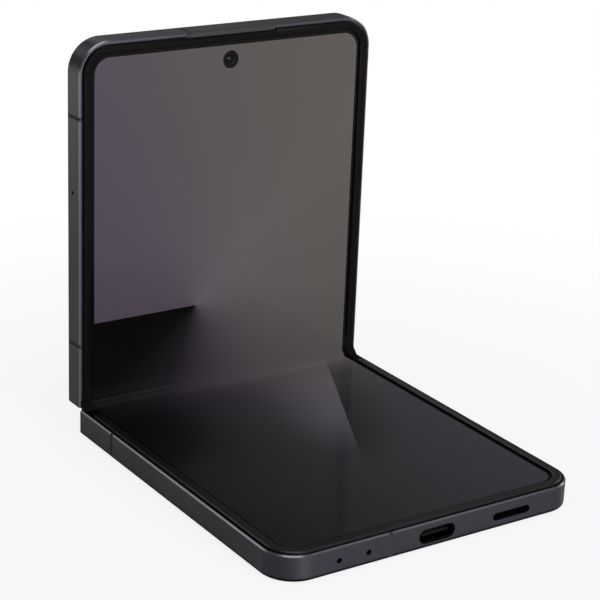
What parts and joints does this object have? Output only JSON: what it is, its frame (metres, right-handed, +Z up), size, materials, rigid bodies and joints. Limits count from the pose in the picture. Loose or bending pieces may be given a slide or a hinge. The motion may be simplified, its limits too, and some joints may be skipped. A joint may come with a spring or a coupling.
{
  "type": "foldable smartphone",
  "caption": "Clamshell foldable phone standing half open at a right angle, with metal frames, a folding inner display and a geared hinge spine.",
  "frame": {"origin": "middle of the lower half's back face, where the phone rests", "axes": "+Z up, +Y from the lower half's open end to the hinge, +X to the right along the hinge"},
  "size_m": [0.0756, 0.0908, 0.0896],
  "materials": {
    "anodised_metal": "satin dark graphite anodising",
    "spine_metal": "satin dark graphite anodising",
    "band_plastic": "matt dark grey",
    "black_trim": "satin black",
    "panel": "gloss, display off",
    "cover_glass_gloss": "gloss dark glass",
    "back_glass_matt": "matt dark glass",
    "steel": "machined",
    "gear_brass": "machined",
    "battery_wrap": "black foil",
    "copper": "enamelled copper",
    "board": "solder mask",
    "gold_can": "plated",
    "flex": "polyimide",
    "lens": "coated gloss",
    "module_black": "matt",
    "flash": "clear diffuser"
  },
  "bodies": {
    "spine": {"spine_cover": "spine_metal", "hinge_blocks": "steel", "block_screws": "steel", "spine_caps": "black_trim", "friction_springs": "steel", "display_fold": "panel", "hinge_flex": "flex"},
    "lower_half": {"frame_lower": "anodised_metal", "back_glass_lower": "back_glass_matt", "display_lower": "panel", "bezel_lower": "black_trim", "hinge_caps_lower": "black_trim", "antenna_bands_lower": "band_plastic", "arms_lower": "steel", "arm_screws_lower": "steel", "battery_lower": "battery_wrap", "charging_coil": "copper", "sub_board": "board", "usb_shell": "steel", "usb_tongue": "black_trim", "speaker_module": "black_trim", "speaker_mesh": "steel", "microphones_lower": "gold_can", "haptic_motor": "steel"},
    "upper_half": {"frame_upper": "anodised_metal", "cover_glass": "cover_glass_gloss", "cover_display": "module_black", "display_upper": "panel", "bezel_upper": "black_trim", "hinge_caps_upper": "black_trim", "antenna_bands_upper": "band_plastic", "arms_upper": "steel", "arm_screws_upper": "steel", "battery_upper": "battery_wrap", "main_board": "board", "shield_cans": "steel", "front_camera": "lens", "earpiece": "black_trim", "microphones_upper": "gold_can", "camera_rings": "anodised_metal", "camera_lenses": "lens", "camera_modules": "module_black", "flash_lens": "flash", "card_reader": "steel", "key_switches": "gold_can"},
    "pinion_lower": {"pinion_lower": "steel"},
    "pinion_upper": {"pinion_upper": "steel"},
    "idler_lower": {"idler_lower": "gear_brass"},
    "idler_upper": {"idler_upper": "gear_brass"},
    "volume_key": {"volume_key": "anodised_metal"},
    "side_key": {"side_key": "anodised_metal"},
    "card_tray": {"card_tray": "anodised_metal"}
  },
  "joints": [
    {"name": "lower_fold", "type": "hinge", "parent": "spine", "child": "lower_half", "pos_m": [0, 0.04072, 0.0059], "axis": [-1, 0, 0], "range_deg": [-45, 45], "deforming": ["display_fold", "hinge_flex"]},
    {"name": "upper_fold", "type": "hinge", "parent": "spine", "child": "upper_half", "pos_m": [0, 0.04207, 0.00724], "axis": [1, 0, 0], "range_deg": [-45, 45]},
    {"name": "pinion_upper_turn", "type": "hinge", "parent": "spine", "child": "pinion_upper", "pos_m": [0, 0.04342, 0.00688], "axis": [1, 0, 0], "range_deg": [-171, 171]},
    {"name": "idler_upper_turn", "type": "hinge", "parent": "spine", "child": "idler_upper", "pos_m": [0, 0.04291, 0.00591], "axis": [1, 0, 0], "range_deg": [-142.5, 142.5]},
    {"name": "idler_lower_turn", "type": "hinge", "parent": "spine", "child": "idler_lower", "pos_m": [0, 0.04206, 0.00506], "axis": [1, 0, 0], "range_deg": [-142.5, 142.5]},
    {"name": "pinion_lower_turn", "type": "hinge", "parent": "spine", "child": "pinion_lower", "pos_m": [0, 0.04109, 0.00455], "axis": [1, 0, 0], "range_deg": [-171, 171]},
    {"name": "volume_press", "type": "slide", "parent": "upper_half", "child": "volume_key", "axis": [-1, 0, 0], "range_m": [0, 0.00025], "stiffness_N_per_m": 2000, "springref_m": -0.0002},
    {"name": "side_press", "type": "slide", "parent": "upper_half", "child": "side_key", "axis": [-1, 0, 0], "range_m": [0, 0.00025], "stiffness_N_per_m": 2000, "springref_m": -0.0002},
    {"name": "tray_out", "type": "slide", "parent": "upper_half", "child": "card_tray", "axis": [-1, 0, 0], "range_m": [0, 0.014]}
  ],
  "couplings": [
    {"joint": "upper_fold", "follows": "lower_fold", "ratio": 1},
    {"joint": "pinion_upper_turn", "follows": "lower_fold", "ratio": 3.8},
    {"joint": "idler_upper_turn", "follows": "lower_fold", "ratio": -3.1667},
    {"joint": "idler_lower_turn", "follows": "lower_fold", "ratio": 3.1667},
    {"joint": "pinion_lower_turn", "follows": "lower_fold", "ratio": -3.8}
  ]
}
